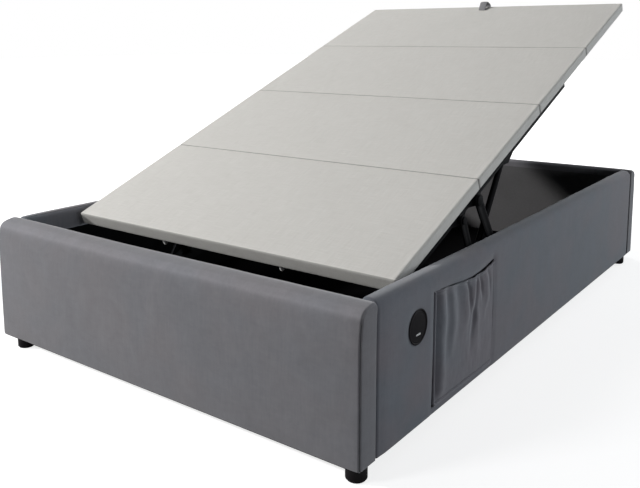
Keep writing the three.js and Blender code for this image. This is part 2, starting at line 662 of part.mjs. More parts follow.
// Pull strap: a webbing arch from the last board's top, over its edge and down its end
function strapParts() {
  const bandLine = (grow) => {
    const base = new THREE.Vector2(deckLength - strap.foothold, seat + grow);
    const crown = new THREE.Vector2(deckLength - strap.foothold / 4, strap.arch + grow);
    const over = new THREE.Vector2(deckLength + strap.overhang + grow, 0);
    const tail = new THREE.Vector2(deckLength + seat + grow, -strap.tail);
    const curve = new THREE.SplineCurve([
      base, new THREE.Vector2(base.x + strap.foothold / 6, strap.arch / 3 + grow), crown, over, tail,
    ]);
    return curve.getPoints(3 * arcSteps);
  };
  const band = new THREE.Shape([...bandLine(0), ...bandLine(strap.band).reverse()]);
  add(deckGroup, 'pull_strap', plateAcross(band, -strap.width / 2, strap.width / 2), webbing);
}

panelParts('head', -1);
panelParts('foot', 1);
sides.forEach(railParts);
portParts();
pocketParts();
footParts();
bracketParts();
floorParts();
ledgeParts();
sides.forEach(basePlateParts);
sides.forEach(linkParts);
sides.forEach(strutParts);
boardParts();
deckFrameParts();
sides.forEach(armParts);
strapParts();
bed.add(deckGroup);

export default bed;
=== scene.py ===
"""Looks for the upholstered storage bed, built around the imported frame.

Metres. X runs across the bed, Y from the head panel to the foot panel, Z up.
"""

import math

import bmesh
import bpy
import numpy as np
from mathutils import Matrix, Vector, noise


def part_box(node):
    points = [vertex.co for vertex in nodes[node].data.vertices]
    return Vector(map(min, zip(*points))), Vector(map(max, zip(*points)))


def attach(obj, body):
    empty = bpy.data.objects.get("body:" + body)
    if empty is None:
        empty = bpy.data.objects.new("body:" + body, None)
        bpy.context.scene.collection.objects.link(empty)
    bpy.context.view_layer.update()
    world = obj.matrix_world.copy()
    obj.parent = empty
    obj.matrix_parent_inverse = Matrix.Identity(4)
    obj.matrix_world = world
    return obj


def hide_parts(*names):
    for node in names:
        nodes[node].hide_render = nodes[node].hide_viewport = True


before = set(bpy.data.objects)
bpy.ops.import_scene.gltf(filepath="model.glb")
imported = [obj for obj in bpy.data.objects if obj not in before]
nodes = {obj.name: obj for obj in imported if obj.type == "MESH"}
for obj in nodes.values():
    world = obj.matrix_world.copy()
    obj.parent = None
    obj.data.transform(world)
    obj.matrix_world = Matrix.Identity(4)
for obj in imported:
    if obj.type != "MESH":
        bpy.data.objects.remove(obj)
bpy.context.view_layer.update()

MM = 0.001

# Sizes shared with the solids; the head panel mirrors the foot panel
FOOT_LOW, FOOT_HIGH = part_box("foot_panel_cover")
PANEL_END = FOOT_HIGH[0]
PANEL_INNER, PANEL_FACE = FOOT_LOW[1], FOOT_HIGH[1]
WALL_BASE, WALL_TOP = FOOT_LOW[2], FOOT_HIGH[2]
RAIL_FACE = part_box("right_rail_cover")[1][0]
DECK_ANGLE = math.radians(21.56)
DECK_NEAR = Vector((0.0, -0.792, 0.366))
DECK_LENGTH = 1.885
DECK_HALF = 0.5855
DECK_THICK = 0.036
BOARD_COUNT = 4
BOARD_SEAM = 1.2 * MM
DECK_PLACE = Matrix.Translation(DECK_NEAR) @ Matrix.Rotation(DECK_ANGLE, 4, "X")
PORT = Vector((RAIL_FACE, -0.802, 0.273))
PORT_RADIUS = 0.042
POCKET_LOW = -0.727
POCKET_WIDTH = 0.342
POCKET_BASE = 0.044
POCKET_HEIGHT = 0.289
POCKET_RECESS = 0.0185


# Camera: the photograph's angle
def place_camera():
    data = bpy.data.cameras.new("camera")
    data.sensor_width = 36.0
    data.lens = 43.085
    data.shift_x = -0.0036
    data.shift_y = -0.15
    data.clip_start = 0.05
    data.clip_end = 60.0
    camera = bpy.data.objects.new("camera", data)
    bpy.context.scene.collection.objects.link(camera)
    azimuth, pitch = math.radians(-36.178), math.radians(8.144)
    forward = Vector((
        math.sin(azimuth) * math.cos(pitch),
        math.cos(azimuth) * math.cos(pitch),
        -math.sin(pitch),
    ))
    camera.location = (1.4544, -2.2655, 0.9178)
    camera.rotation_euler = forward.to_track_quat("-Z", "Y").to_euler()
    bpy.context.scene.camera = camera


# Materials
class Tree:
    """A node tree, with short calls for the nodes used here."""

    def __init__(self, owner):
        owner.use_nodes = True
        self.tree = owner.node_tree
        self.tree.nodes.clear()

    def link(self, source, target):
        self.tree.links.new(source, target)

    def add(self, kind, inputs=None, **settings):
        """A new node. Each input is a number, a color or another node's output."""
        made = self.tree.nodes.new("ShaderNode" + kind)
        for key, value in settings.items():
            setattr(made, key, value)
        for key, value in (inputs or {}).items():
            if isinstance(value, (int, float)):
                made.inputs[key].default_value = value
            elif isinstance(value, tuple):
                made.inputs[key].default_value = (*value, 1.0)
            else:
                self.link(value, made.inputs[key])
        return made

    def math(self, operation, first, second):
        return self.add("Math", {0: first, 1: second}, operation=operation).outputs[0]


class Nodes(Tree):
    """A material's node tree round one Principled shader."""

    def __init__(self, name, color, roughness, metallic=0.0, **sockets):
        self.material = bpy.data.materials.new(name)
        self.material.diffuse_color = (*color, 1.0)
        super().__init__(self.material)
        inputs = {"Base Color": color, "Roughness": roughness, "Metallic": metallic}
        inputs.update({socket.replace("_", " "): value for socket, value in sockets.items()})
        self.shader = self.add("BsdfPrincipled", inputs)
        self.out = self.add("OutputMaterial", {0: self.shader.outputs[0]})

    def coords(self, scale=(1, 1, 1), turn=(0, 0, 0)):
        mapping = self.add("Mapping", {"Vector": self.add("TexCoord").outputs["Object"]})
        mapping.inputs["Scale"].default_value = scale
        mapping.inputs["Rotation"].default_value = turn
        return mapping.outputs[0]

    def noise(self, vector, scale, detail=3.0, rough=0.5, twist=0.0):
        inputs = {"Vector": vector, "Scale": scale, "Detail": detail, "Roughness": rough, "Distortion": twist}
        return self.add("TexNoise", inputs).outputs["Fac"]

    def wave(self, vector, scale, direction, twist):
        inputs = {"Vector": vector, "Scale": scale, "Distortion": twist}
        return self.add("TexWave", inputs, wave_type="BANDS", bands_direction=direction).outputs["Fac"]

    def weighted(self, *parts):
        """The sum of several outputs, each times its weight."""
        total = None
        for value, weight in parts:
            part = self.math("MULTIPLY", value, weight)
            total = part if total is None else self.math("ADD", total, part)
        return total

    def span(self, value, low, high, to_low=0.0, to_high=1.0):
        inputs = {"Value": value, "From Min": low, "From Max": high, "To Min": to_low, "To Max": to_high}
        return self.add("MapRange", inputs).outputs[0]

    def blend(self, share, first, second):
        return self.add("Mix", {0: share, 6: first, 7: second}, data_type="RGBA").outputs[2]

    def scaled(self, color, share):
        return self.add("VectorMath", {0: color, "Scale": share}, operation="SCALE").outputs[0]

    def upward(self):
        """How far the surface faces up, from -1 to 1."""
        return self.add("SeparateXYZ", {0: self.add("NewGeometry").outputs["Normal"]}).outputs["Z"]

    def color(self, value):
        self.link(value, self.shader.inputs["Base Color"])

    def rough(self, value):
        self.link(value, self.shader.inputs["Roughness"])

    def bump(self, height, distance, strength):
        """Adds a relief in metres on top of those before it."""
        inputs = {"Height": height, "Distance": distance, "Strength": strength}
        for before in self.shader.inputs["Normal"].links:
            inputs["Normal"] = before.from_socket
        self.link(self.add("Bump", inputs).outputs[0], self.shader.inputs["Normal"])


def times(values, factor):
    return tuple(value * factor for value in values)


def velvet(name, cool, warm, contrast=1.0, roll=0.0):
    """Short pile: brushed patches, faint upright and slanted marks, hue drift and a fine grain.

    roll is how much paler the colour is painted where a rolled top faces up: a painted highlight.
    """
    light = tuple((one + two) / 2 for one, two in zip(cool, warm))
    m = Nodes(name, light, 0.85, Sheen_Weight=0.3, Sheen_Roughness=0.45, Specular_IOR_Level=0.2)
    hue = m.noise(m.coords(), 4.2, 2.0, 0.5, 0.6)
    patch = m.noise(m.coords(), 9.0, 4.0, 0.6, 1.6)
    brushed = m.noise(m.coords((46, 46, 7)), 1.0, 3.0, 0.6, 0.8)
    nap = m.noise(m.coords((190, 190, 24)), 1.0, 2.0, 0.6, 0.4)
    slanted = m.noise(m.coords((30, 30, 90), (0.5, 0.5, 0)), 1.0, 3.0, 0.6, 0.5)
    pile = m.noise(m.coords(), 620.0, 2.0, 0.6)
    base = m.blend(m.span(hue, 0.38, 0.62), cool, warm)
    marks = m.weighted((patch, 0.5), (brushed, 0.15), (slanted, 0.25), (pile, 0.1), (nap, 0.24))
    swing = 0.1 * contrast
    shade = m.span(marks, 0.48, 0.76, 1 - swing, 1 + swing)
    if roll:
        # Painted highlight: the colour grows paler where the surface faces up over a rolled top.
        up = m.upward()
        painted_top_highlight = m.math("MULTIPLY", m.span(up, 0.15, 0.5), m.span(up, 0.9, 1.0, 1.0, 0.4))
        shade = m.math("MULTIPLY", shade, m.span(painted_top_highlight, 0.0, 1.0, 1.0, 1.0 + roll))
    m.color(m.scaled(base, shade))
    m.rough(m.span(patch, 0.3, 0.7, 0.8, 0.92))
    m.bump(pile, 0.0005, 0.5)
    m.bump(brushed, 0.0008, 0.25)
    return m.material


def linen(name, level=1.0):
    """Plain weave with slubs: uneven threads both ways, in the deck's own directions; a level under 1 makes a
    darker copy for painted shade.
    """
    m = Nodes(name, times((0.65, 0.64, 0.61), level), 0.88, Sheen_Weight=0.08, Specular_IOR_Level=0.2)
    along = m.noise(m.coords((330, 16, 60)), 1.0, 4.0, 0.6)
    across = m.noise(m.coords((16, 330, 60)), 1.0, 4.0, 0.6)
    warp = m.wave(m.coords(), 230.0, "X", 0.6)
    weft = m.wave(m.coords(), 230.0, "Y", 0.6)
    patch = m.noise(m.coords(), 5.0, 3.0, 0.55)
    slub = m.math("ADD", along, across)
    weave = m.math("ADD", warp, weft)
    tone = m.weighted((m.span(slub, 0.75, 1.25), 0.7), (weave, 0.1), (m.span(patch, 0.3, 0.7), 0.12))
    m.color(m.scaled(m.blend(tone, (0.565, 0.555, 0.527), (0.675, 0.665, 0.64)), level))
    m.rough(m.span(slub, 0.7, 1.3, 0.82, 0.94))
    m.bump(weave, 0.0003, 0.5)
    m.bump(slub, 0.0004, 0.4)
    return m.material


def webbing(name):
    """Flat woven band: ribs across, with a chevron along."""
    m = Nodes(name, (0.2, 0.2, 0.21), 0.75, Sheen_Weight=0.2)
    ribs = m.wave(m.coords(), 160.0, "Y", 0.3)
    chevron = m.wave(m.coords((1, 0.6, 0.6), (0, 0, math.radians(35))), 110.0, "DIAGONAL", 0.2)
    grain = m.noise(m.coords(), 500.0, 2.0)
    tone = m.math("MULTIPLY", m.math("ADD", ribs, chevron), 0.5)
    m.color(m.blend(m.math("MULTIPLY", tone, grain), (0.09, 0.09, 0.095), (0.4, 0.4, 0.42)))
    m.bump(tone, 0.0006, 0.9)
    return m.material


def coated_steel(name, color, smooth, rough):
    """Black powder coat: fine orange peel with slightly rubbed, paler and smoother spots."""
    m = Nodes(name, color, rough, Specular_IOR_Level=0.025)
    peel = m.noise(m.coords(), 420.0, 2.0, 0.5)
    rub = m.noise(m.coords(), 26.0, 5.0, 0.65)
    m.color(m.blend(m.span(rub, 0.55, 0.8), color, times(color, 2.6)))
    m.rough(m.span(rub, 0.3, 0.75, rough, smooth))
    m.bump(peel, 0.00025, 0.4)
    return m.material


def bare_steel(name, color, rough, lines, metallic=1.0):
    """Ground or turned metal with fine marks round it."""
    m = Nodes(name, color, rough, metallic)
    marks = m.noise(m.coords(lines), 1.0, 3.0, 0.6)
    stain = m.noise(m.coords(), 30.0, 3.0, 0.6)
    m.color(m.blend(m.span(stain, 0.4, 0.7), color, times(color, 0.8)))
    m.rough(m.span(marks, 0.3, 0.7, rough * 0.7, rough * 1.4))
    m.bump(marks, 0.0001, 0.3)
    return m.material


def plastic(name, color, rough, grain_scale, gloss):
    """Moulded plastic with a fine spark-eroded grain."""
    m = Nodes(name, color, rough, Specular_IOR_Level=gloss)
    grain = m.noise(m.coords(), grain_scale, 3.0, 0.6)
    haze = m.noise(m.coords(), 18.0, 3.0, 0.6)
    m.color(m.blend(m.span(haze, 0.3, 0.7), times(color, 0.75), color))
    m.rough(m.span(haze, 0.3, 0.7, rough * 0.85, rough * 1.15))
    m.bump(grain, 0.00012, 0.5)
    return m.material


def timber(name, dark, light):
    """Planed softwood with its grain and pores along Y."""
    m = Nodes(name, light, 0.6, Specular_IOR_Level=0.35)
    stretch = (14, 1.2, 14)
    grain = m.noise(m.coords(stretch), 3.0, 6.0, 0.6, 1.4)
    pores = m.noise(m.coords(times(stretch, 14)), 2.0, 2.0, 0.5)
    m.color(m.blend(m.weighted((m.span(grain, 0.3, 0.7), 0.8), (pores, 0.25)), dark, light))
    m.rough(m.span(grain, 0.3, 0.7, 0.7, 0.5))
    m.bump(pores, 0.0002, 0.5)
    return m.material


def felt(name, dark, light):
    """Non-woven lining: matted fibres."""
    m = Nodes(name, light, 1.0, Specular_IOR_Level=0.0)
    fibres = m.noise(m.coords(), 240.0, 6.0, 0.7, 1.5)
    patch = m.noise(m.coords(), 5.0, 3.0, 0.5)
    m.color(m.blend(m.math("MULTIPLY", fibres, m.span(patch, 0.2, 0.8, 0.7, 1.3)), dark, light))
    m.bump(fibres, 0.0005, 0.6)
    return m.material


# The panels' velvet, with a painted highlight on its up-facing rolled tops.
VELVET = velvet("velvet", (0.126, 0.1275, 0.14), (0.133, 0.1295, 0.1395), 1.0, 0.4)
# A darker copy of the velvet for the rails: the darker tone is painted shade on their side faces.
SHADED_RAIL_VELVET = velvet("shaded_rail_velvet", (0.104, 0.115, 0.134), (0.124, 0.118, 0.133))
# A paler copy of the velvet for the left rail's inner face: painted light.
PAINTED_LIGHT_INNER_VELVET = velvet("painted_light_inner_velvet", (0.225, 0.243, 0.272), (0.237, 0.24, 0.265))
POCKET_VELVET = velvet("pocket_velvet", (0.12, 0.127, 0.145), (0.138, 0.129, 0.145), 1.1)
LINEN = linen("deck_linen")
# A darker copy of the linen for the boards' sides and underside: painted shade.
LINEN_PAINTED_SIDE_SHADE = linen("deck_linen_painted_side_shade", 0.88)
# A much darker copy for the first board's near edge and the walls beside the seams: painted shade.
LINEN_PAINTED_EDGE_SHADE = linen("deck_linen_painted_edge_shade", 0.54)
WEBBING = webbing("strap_webbing")
BLACK_STEEL = coated_steel("black_steel", (0.005, 0.005, 0.0055), 0.5, 0.65)
STRUT_PAINT = coated_steel("strut_paint", (0.007, 0.007, 0.008), 0.28, 0.4)
ROD_STEEL = bare_steel("rod_steel", (0.08, 0.08, 0.085), 0.35, (300, 40, 40))
ZINC = bare_steel("zinc", (0.95, 0.94, 0.92), 0.5, (60, 60, 900), 0.1)
BLACK_PLASTIC = plastic("black_plastic", (0.005, 0.004, 0.005), 0.5, 320.0, 0.12)
PORT_PLASTIC = plastic("port_plastic", (0.006, 0.005, 0.006), 0.6, 600.0, 0.08)
WHITE_PLASTIC = plastic("white_plastic", (0.95, 0.95, 0.94), 0.3, 320.0, 0.5)
DARK_TIMBER = timber("dark_timber", (0.012, 0.01, 0.009), (0.045, 0.038, 0.032))
# Black lining felt for the box's inside, also used as painted shade under the walls' hems.
LINING_AND_PAINTED_SHADE = felt("black_lining_and_painted_shade", (0.002, 0.002, 0.002), (0.009, 0.009, 0.01))
GREY_LINING = felt("grey_lining", (0.064, 0.063, 0.065), (0.135, 0.133, 0.137))


# Meshes
def mesh_object(name, points, faces, material, place=None):
    data = bpy.data.meshes.new(name)
    data.from_pydata([tuple(point) for point in points], [], faces)
    data.materials.append(material)
    data.polygons.foreach_set("use_smooth", [True] * len(data.polygons))
    data.update()
    made = bpy.data.objects.new(name, data)
    bpy.context.scene.collection.objects.link(made)
    if place is not None:
        made.matrix_world = place
    return made


def outward(made, weld=None):
    bm = bmesh.new()
    bm.from_mesh(made.data)
    if weld:
        bmesh.ops.remove_doubles(bm, verts=bm.verts, dist=weld)
    bmesh.ops.recalc_face_normals(bm, faces=bm.faces)
    bm.to_mesh(made.data)
    bm.free()
    made.data.update()
    return made


def settle(made):
    """Applies a piece's modifiers to its mesh."""
    bpy.context.view_layer.update()
    seen = made.evaluated_get(bpy.context.evaluated_depsgraph_get())
    data = bpy.data.meshes.new_from_object(seen)
    made.modifiers.clear()
    old = made.data
    made.data = data
    bpy.data.meshes.remove(old)


def crisp(made, degrees=40):
    """Smooth shading that breaks at sharp edges."""
    split = made.modifiers.new("crisp", "EDGE_SPLIT")
    split.split_angle = math.radians(degrees)
    return made


def bell(distance, width):
    """1 at no distance, falling smoothly to nothing within about two widths."""
    return math.exp(-((distance / width) ** 2))


def ease(value, low, high):
    """0 up to low, 1 from high on, and smooth between them."""
    share = min(1.0, max(0.0, (value - low) / (high - low)))
    return share * share * (3 - 2 * share)


def ring_faces(count, size, closed=False):
    """Quads between count rings of size points; closed also joins the last ring to the first."""
    faces = []
    for i in range(count if closed else count - 1):
        near, far = i * size, (i + 1) % count * size
        faces += [(near + j, near + (j + 1) % size, far + (j + 1) % size, far + j) for j in range(size)]
    return faces


def end_faces(count, size):
    """One face each on the first and the last ring."""
    return [tuple(range(size)), tuple(range((count - 1) * size, count * size))]


def prism(name, outline, back, front, material):
    """An outline in Y and Z, drawn out along X from back to front."""
    points = [(x, y, z) for x in (back, front) for y, z in outline]
    size = len(outline)
    return outward(mesh_object(name, points, ring_faces(2, size) + end_faces(2, size), material))


def paint_faces(made, material, where):
    """Gives a material to the faces for which where(normal, center) is true."""
    made.data.materials.append(material)
    index = len(made.data.materials) - 1
    for face in made.data.polygons:
        if where(face.normal, face.center):
            face.material_index = index


SECTION_AXES = ((1, 2), (0, 2), (0, 1))


def ring_points(low, high, radii, shrink, side_counts, corner_count):
    """A rectangle with four corner radii, shrunk all round.

    Its corners run low-low, high-low, high-high, low-high.
    """
    a0, b0, a1, b1 = low[0] + shrink, low[1] + shrink, high[0] - shrink, high[1] - shrink
    most = max(min(a1 - a0, b1 - b0) / 2, 0.00005)
    corners = [(a0, b0, 1, 1), (a1, b0, -1, 1), (a1, b1, -1, -1), (a0, b1, 1, -1)]
    arcs = []
    for i, (a, b, in_a, in_b) in enumerate(corners):
        radius = min(max(radii[i] - shrink, 0.0002), most)
        centre = (a + in_a * radius, b + in_b * radius)
        start = math.pi + i * math.pi / 2
        arcs.append([
            (centre[0] + radius * math.cos(start + math.pi / 2 * k / corner_count),
             centre[1] + radius * math.sin(start + math.pi / 2 * k / corner_count))
            for k in range(corner_count + 1)
        ])
    points = []
    for i in range(4):
        points += arcs[i]
        end, start = arcs[i][-1], arcs[(i + 1) % 4][0]
        count = side_counts[i % 2]
        points += [
            (end[0] + (start[0] - end[0]) * k / count, end[1] + (start[1] - end[1]) * k / count)
            for k in range(1, count)
        ]
    return points


def end_stations(edge, inward, radius, deepest, cell, steps):
    """(place, shrink) of the rings at a bar's end: its flat cap, its rounding and short steps beside it."""
    short = [0.002 * k for k in range(1, 5)]
    left = deepest - radius - short[-1]
    count = max(1, round(left / cell))
    shrinks = [radius + short[-1] + left * k / count for k in range(count, 0, -1)]
    shrinks += [radius + step for step in short[::-1]]
    turns = [math.pi / 2 * k / steps for k in range(steps + 1)]
    rounding = [
        (edge + inward * radius * (1 - math.cos(turn)), radius * (1 - math.sin(turn))) for turn in turns
    ]
    beside = [(edge + inward * (radius + step), 0.0) for step in short]
    return [(edge, shrink) for shrink in shrinks] + rounding + beside


def soft_bar(low, high, axis, radii, end_radii, cell, corner_count=4, end_steps=4):
    """Points and faces of a bar with rounded long edges and rounded ends, in small square cells.

    The section lies in the other two axes; radii are its four corners', end_radii the two ends'.
    """
    first, second = SECTION_AXES[axis]
    flat_low, flat_high = (low[first], low[second]), (high[first], high[second])
    spans = (flat_high[0] - flat_low[0], flat_high[1] - flat_low[1])
    side_counts = [2 * max(1, round(span / cell / 2)) for span in spans]
    deepest = min(spans) / 2 * 0.97
    start = end_stations(low[axis], 1, end_radii[0], deepest, cell, end_steps)
    end = end_stations(high[axis], -1, end_radii[1], deepest, cell, end_steps)
    begin, reach = start[-1][0], end[-1][0] - start[-1][0]
    count = max(2, round(reach / cell))
    rings = start + [(begin + reach * k / count, 0.0) for k in range(1, count)] + end[::-1]
    points = []
    for along, shrink in rings:
        for a, b in ring_points(flat_low, flat_high, radii, shrink, side_counts, corner_count):
            point = [0.0, 0.0, 0.0]
            point[axis], point[first], point[second] = along, a, b
            points.append(point)
    size = len(points) // len(rings)
    faces = ring_faces(len(rings), size)
    # The caps' middles: strips of quads across the thin direction
    middle = corner_count + side_counts[0] // 2
    if spans[0] > spans[1]:
        middle = 2 * corner_count + side_counts[0] + side_counts[1] // 2
    for base in (0, (len(rings) - 1) * size):
        for k in range(size // 2):
            strip = [(middle + step) % size for step in (k, k + 1, -k - 1, -k)]
            faces.append(tuple(base + j for j in dict.fromkeys(strip)))
    return points, faces


def inset_in_section(point, low, high, axis, radii):
    """How far a point is inside the section's rounded outline."""
    first, second = SECTION_AXES[axis]
    a, b = point[first], point[second]
    a0, b0, a1, b1 = low[first], low[second], high[first], high[second]
    high_a, high_b = a >= (a0 + a1) / 2, b >= (b0 + b1) / 2
    radius = radii[(0, 1, 3, 2)[high_a + 2 * high_b]]
    in_a, in_b = min(a - a0, a1 - a), min(b - b0, b1 - b)
    if in_a < radius and in_b < radius:
        return radius - math.hypot(radius - in_a, radius - in_b)
    return min(in_a, in_b)


def push(made, amount):
    """Moves each vertex along its normal by amount(point, normal)."""
    data = made.data
    normals = [vertex.normal.copy() for vertex in data.vertices]
    for vertex, normal in zip(data.vertices, normals):
        vertex.co += normal * amount(vertex.co, normal)
    data.update()


CLOTH = {
    "quality": 4, "mass": 0.3, "tension_stiffness": 18, "compression_stiffness": 18, "shear_stiffness": 6,
    "bending_stiffness": 0.8, "use_pressure": True, "vertex_group_mass": "hold",
}


def inflate(made, hold, cap, pressure=4.0, frames=16):
    """A short cloth simulation with air pressure inside; hold(point) from 0, free, to 1, sewn down.

    The result is scaled so that the fullest places move by cap.
    """
    data = made.data
    group = made.vertex_groups.new(name="hold")
    for vertex in data.vertices:
        weight = hold(vertex.co)
        if weight > 0:
            group.add([vertex.index], weight, "REPLACE")
    cloth = made.modifiers.new("cloth", "CLOTH")
    for key, value in CLOTH.items():
        setattr(cloth.settings, key, value)
    cloth.settings.uniform_pressure_force = pressure
    cloth.settings.effector_weights.gravity = 0
    cloth.collision_settings.use_collision = False
    cloth.point_cache.frame_start = 1
    cloth.point_cache.frame_end = frames
    for number in range(1, frames + 1):
        bpy.context.scene.frame_set(number)
    seen = made.evaluated_get(bpy.context.evaluated_depsgraph_get())
    start, moved = (np.empty(len(data.vertices) * 3) for _ in range(2))
    data.vertices.foreach_get("co", start)
    seen.data.vertices.foreach_get("co", moved)
    made.modifiers.remove(cloth)
    made.vertex_groups.clear()
    bpy.context.scene.frame_set(1)
    step = (moved - start).reshape(-1, 3)
    length = np.linalg.norm(step, axis=1)
    full = max(np.percentile(length, 97), 1e-6)
    share = np.tanh(length / full) * cap / np.maximum(length, 1e-9)
    data.vertices.foreach_set("co", (start.reshape(-1, 3) + step * share[:, None]).ravel())
    data.update()


def smoother(made):
    made.modifiers.new("smoother", "SUBSURF").levels = 1
    settle(made)


def cut(made, cutter):
    """Takes the cutter out of a piece, keeping the cutter's own material inside, and removes it."""
    modifier = made.modifiers.new("cut", "BOOLEAN")
    modifier.operation = "DIFFERENCE"
    modifier.solver = "EXACT"
    modifier.material_mode = "TRANSFER"
    modifier.object = cutter
    settle(made)
    bpy.data.objects.remove(cutter)


def tube(name, path, radius, material, sides):
    """A round welt along a path, with closed ends."""
    points = []
    path = [Vector(point) for point in path]
    up = Vector((0, 0, 1))
    for i, point in enumerate(path):
        ahead = path[min(i + 1, len(path) - 1)] - path[max(i - 1, 0)]
        ahead.normalize()
        side = ahead.cross(up if abs(ahead.dot(up)) < 0.9 else Vector((1, 0, 0))).normalized()
        over = side.cross(ahead)
        for k in range(sides):
            angle = 2 * math.pi * k / sides
            points.append(point + side * radius * math.cos(angle) + over * radius * math.sin(angle))
    faces = ring_faces(len(path), sides) + end_faces(len(path), sides)
    return outward(mesh_object(name, points, faces, material))


def turned(name, profile, material, sides, place):
    """A lathe form round local Z from (radius, height) pairs that start and end on the axis, or close."""
    closed = profile[0] == profile[-1]
    rows = profile[:-1] if closed else profile
    angles = [2 * math.pi * k / sides for k in range(sides)]
    points = [
        (radius * math.cos(angle), radius * math.sin(angle), height)
        for radius, height in rows for angle in angles
    ]
    faces = ring_faces(len(rows), sides, closed)
    return outward(mesh_object(name, points, faces, material, place), 1e-6)


# Upholstered walls
WALL_CELL = 0.017
BASE_RADIUS = 0.009
TOP_INNER_RADIUS = 0.015
PANEL_OUTER_RADIUS = 0.024
RAIL_OUTER_RADIUS = 0.032
PANEL_SWELL = 0.0042
RAIL_SWELL = 0.0026
PANEL_CROWN = 0.0018
RAIL_CROWN = 0.0012
PANEL_LEFT_PULL = 0.0045
RAIL_HEAD_PULL = 0.003
PANEL_LEAN = 0.006
PANEL_TILT = 0.006
WALL_TRIM = 0.0012
HEM_DROP = 0.0055
SEWN_DEPTH = 0.0052
SEWN_WIDTH = 0.003
SEAM_REACH = 0.03
CORE_CLEAR = 0.0012


def wall_radii(outer, side):
    """The section's corner radii, with the given one at the top of the outer face."""
    top = (outer, TOP_INNER_RADIUS) if side > 0 else (TOP_INNER_RADIUS, outer)
    return (BASE_RADIUS, BASE_RADIUS, *top)


def freedom(point, low, high, axis):
    """How free the cover is: 0 where it is sewn, at the wall's ends and base, and 1 well away from them."""
    along = max(0.0, min(point[axis] - low[axis], high[axis] - point[axis]))
    rise = max(0.0, point[2] - low[2])
    return (1 - math.exp(-along / 0.03)) * (1 - math.exp(-rise / 0.04))


def upholster(name, node, core, axis, radii, end_radii, seams, swell, amount, material):
    """A padded wall in place of its CAD node: a soft bar, inflated, smoothed, then sewn and shaped.

    seams gives, for each end, the inset along and into the section of its sewn groove, or None.
    amount(point, normal, low, high) is how far the cover then stands out.
    """
    low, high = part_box(node)
    points, faces = soft_bar(low, high, axis, radii, end_radii, WALL_CELL)
    made = outward(mesh_object(name, points, faces, material))

    def end_insets(point):
        return point[axis] - low[axis], high[axis] - point[axis]

    def hold(point):
        sewn = 1 - ease(min(end_insets(point)), 0.012, 0.05)
        base = 1 - ease(point[2], low[2] + 0.006, low[2] + 0.05)
        return max(sewn, base)

    def groove(point):
        depth = max(0.0, inset_in_section(point, low, high, axis, radii))
        value = 0.0
        for inset, seam in zip(end_insets(point), seams):
            if seam and inset < SEAM_REACH:
                wander = 0.0007 * noise.noise(Vector((point[2] * 28, point[1 - axis] * 28, 3.0)))
                away = math.hypot(inset - seam[0] - wander, depth - seam[1])
                value += SEWN_DEPTH * bell(away, SEWN_WIDTH) + 0.0011 * bell(away, 0.012)
        return value * (1 - 0.7 * ease(point[2], high[2] - 0.045, high[2] - 0.02))

    inflate(made, hold, swell)
    smoother(made)
    push(made, lambda point, normal: amount(point, normal, low, high) - groove(point))
    core_rest(made, core, axis)
    return made


def core_rest(made, core, axis):
    """Keeps the turned-under base level, clear of the timber core's underside and round its ends."""
    low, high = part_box(core)
    across, margin = 1 - axis, 4 * MM
    for vertex in made.data.vertices:
        x, y, z = vertex.co
        inside = low[0] - MM < x < high[0] + MM and low[1] - MM < y < high[1] + MM
        if inside and z < WALL_BASE + 2 * MM:
            vertex.co[2] = WALL_BASE + margin
        elif z < WALL_BASE:
            vertex.co[2] = WALL_BASE
        beside = low[across] - CORE_CLEAR < vertex.co[across] < high[across] + CORE_CLEAR
        if beside and z < high[2] + CORE_CLEAR:
            if low[axis] - CORE_CLEAR < vertex.co[axis] < low[axis] + margin:
                vertex.co[axis] = low[axis] - CORE_CLEAR
            elif high[axis] - margin < vertex.co[axis] < high[axis] + CORE_CLEAR:
                vertex.co[axis] = high[axis] + CORE_CLEAR
    made.data.update()


def hem(made, axis, side, face, end=None):
    """Lets the padding hang a little lower along the outer face and open ends, and paints the faces turned
    under at the base black: painted shade.
    """
    for vertex in made.data.vertices:
        inset = face - side * vertex.co[1 - axis]
        if end:
            inset = min(inset, end - abs(vertex.co[axis]))
        under = 1 - ease(vertex.co[2] - WALL_BASE, 0.0, 0.09)
        vertex.co[2] -= HEM_DROP * under * (1 - ease(inset, 0.007, 0.017))
    made.data.update()
    # Painted shade: the faces turned under at the base take the black lining.
    paint_faces(made, LINING_AND_PAINTED_SHADE, lambda normal, center: normal[2] < -0.35 and center[2] < WALL_BASE + 0.01)


def line_inside(made, axis, inward, below, material):
    """Gives the faces that look into the box, under a height, their own material: a lining, or the paler
    velvet that is painted light.
    """
    paint_faces(made, material, lambda normal, center: normal[axis] * inward > 0.5 and center[2] < below)


def wear(along, up, across):
    """Small slack places in the cover, in metres."""
    broad = noise.noise(Vector((along * 3.4, across * 9, up * 4.2)))
    fine = noise.noise(Vector((along * 11, across * 5 + 7.0, up * 13.0)))
    return 0.0011 * broad + 0.00035 * fine


def finish_wall(made, node):
    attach(made, "frame")
    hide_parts(node)


def shape_top(made, facing):
    """Leans a panel's outer face back at its top, and tilts the top down towards that face."""
    for vertex in made.data.vertices:
        share = max(0.0, vertex.co[1] * facing - PANEL_INNER) / (PANEL_FACE - PANEL_INNER)
        lean = PANEL_LEAN * share * ease(vertex.co[2], WALL_TOP - 0.09, WALL_TOP - 0.008)
        vertex.co[1] -= facing * lean
        outer_top = ease(share, 0.25, 0.9) * ease(vertex.co[2], WALL_TOP - 0.045, WALL_TOP - 0.01)
        vertex.co[2] -= PANEL_TILT * outer_top


